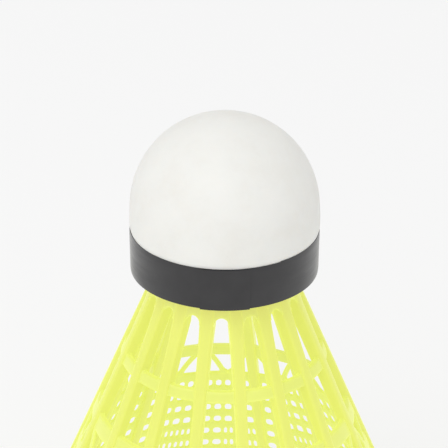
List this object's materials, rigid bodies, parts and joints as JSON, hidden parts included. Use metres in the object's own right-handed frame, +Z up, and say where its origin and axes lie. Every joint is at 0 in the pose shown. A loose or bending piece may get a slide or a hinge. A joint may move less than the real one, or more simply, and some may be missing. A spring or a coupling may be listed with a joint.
{
  "type": "badminton shuttlecock",
  "caption": "Badminton shuttlecock with a rounded leather-covered head, a dark tape band and a conical nylon skirt of ribs and mesh, standing on its rim.",
  "frame": {"origin": "middle of the rim's underside, on the axis of the skirt", "axes": "+Z up the axis from the rim to the nose of the head; one rib lies along +X and one along -Y"},
  "size_m": [0.0662, 0.0662, 0.0805],
  "materials": {
    "cork": "pressed cork granules",
    "cover": "smooth off-white synthetic leather, matt",
    "tape": "dark grey tape, half matt",
    "glue": "clear glue",
    "skirt": "fluorescent yellow moulded nylon, satin and slightly translucent",
    "ribs": "fluorescent yellow moulded nylon, satin and slightly translucent",
    "mesh": "fluorescent yellow moulded nylon, satin and slightly translucent"
  },
  "bodies": {
    "root": {"cork_core": "cork", "head_cover": "cover", "band_tape": "tape", "glue_film": "glue", "skirt_plug": "skirt", "skirt_collar": "skirt", "upper_ring": "skirt", "middle_ring": "skirt", "rim_hoop": "skirt", "rib_01": "ribs", "rib_02": "ribs", "rib_03": "ribs", "rib_04": "ribs", "rib_05": "ribs", "rib_06": "ribs", "rib_07": "ribs", "rib_08": "ribs", "rib_09": "ribs", "rib_10": "ribs", "rib_11": "ribs", "rib_12": "ribs", "rib_13": "ribs", "rib_14": "ribs", "rib_15": "ribs", "rib_16": "ribs", "mesh_panel_01": "mesh", "mesh_panel_02": "mesh", "mesh_panel_03": "mesh", "mesh_panel_04": "mesh", "mesh_panel_05": "mesh", "mesh_panel_06": "mesh", "mesh_panel_07": "mesh", "mesh_panel_08": "mesh", "mesh_panel_09": "mesh", "mesh_panel_10": "mesh", "mesh_panel_11": "mesh", "mesh_panel_12": "mesh", "mesh_panel_13": "mesh", "mesh_panel_14": "mesh", "mesh_panel_15": "mesh", "mesh_panel_16": "mesh"}
  },
  "joints": []
}
